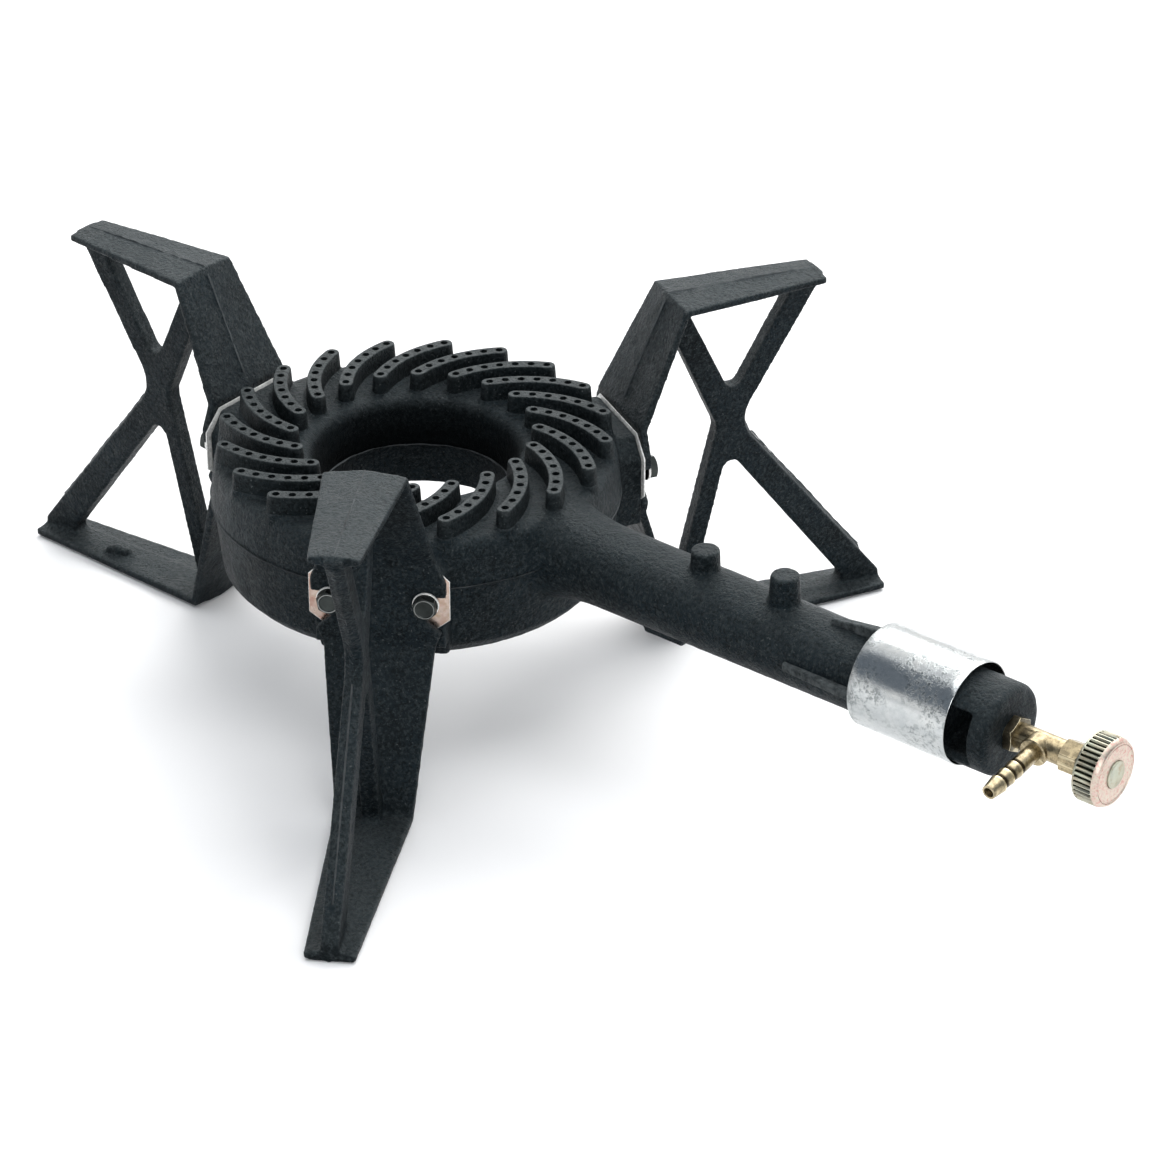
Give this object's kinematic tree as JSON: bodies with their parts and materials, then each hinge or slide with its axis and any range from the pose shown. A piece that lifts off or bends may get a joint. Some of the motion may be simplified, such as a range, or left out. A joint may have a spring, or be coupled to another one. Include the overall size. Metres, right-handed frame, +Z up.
{
  "type": "stock pot range burner",
  "caption": "Low cast-iron gas burner on tall X-shaped legs that carry a stock pot, with a long gas arm, a sliding air sleeve and a valve with a fluted knob.",
  "frame": {"origin": "on the floor, under the middle of the part's plan box; the ring's axis is at x -98.0 mm, y -6.9 mm", "axes": "+X along the gas arm towards the knob, +Z up, hose nozzle towards -Y"},
  "size_m": [0.8328, 0.5652, 0.236],
  "materials": {
    "cast_iron": "rough black painted casting",
    "galvanised": "bright galvanised sheet",
    "yellow_zinc": "thin zinc sheet, faint yellow and pink",
    "dark_steel": "darkened steel",
    "brass": "turned",
    "brass_nut": "turned",
    "packing": "matte",
    "knob_metal": "yellow passivated zinc",
    "knob_face": "satin"
  },
  "bodies": {
    "burner": {"burner_casting": "cast_iron", "leg_front": "cast_iron", "shield_plate_front": "yellow_zinc", "leg_washers_front": "dark_steel", "leg_bolts_front": "dark_steel", "leg_right": "cast_iron", "shield_plate_right": "yellow_zinc", "leg_washers_right": "dark_steel", "leg_bolts_right": "dark_steel", "leg_left": "cast_iron", "shield_plate_left": "yellow_zinc", "leg_washers_left": "dark_steel", "leg_bolts_left": "dark_steel", "gas_jet": "brass", "lock_nut": "brass_nut", "valve_body": "brass", "hose_nozzle": "brass", "gland_nut": "brass", "gland_packing": "packing"},
    "sleeve": {"air_sleeve": "galvanised"},
    "spindle": {"valve_spindle": "brass"},
    "knob": {"knob_rim": "knob_metal", "knob_dial": "knob_face", "knob_cap": "knob_face"}
  },
  "joints": [
    {"name": "air_sleeve_slide", "type": "slide", "parent": "burner", "child": "sleeve", "axis": [1, 0, 0], "range_m": [-0.022, 0.014]},
    {"name": "spindle_travel", "type": "slide", "parent": "burner", "child": "spindle", "axis": [1, 0, 0], "range_m": [0, 0.00226]},
    {"name": "knob_turn", "type": "hinge", "parent": "spindle", "child": "knob", "pos_m": [0.40793, -0.00688, 0.1355], "axis": [1, 0, 0], "range_deg": [0, 540]}
  ],
  "couplings": [
    {"joint": "spindle_travel", "follows": "knob_turn", "m_per_rad": 0.00023873}
  ]
}
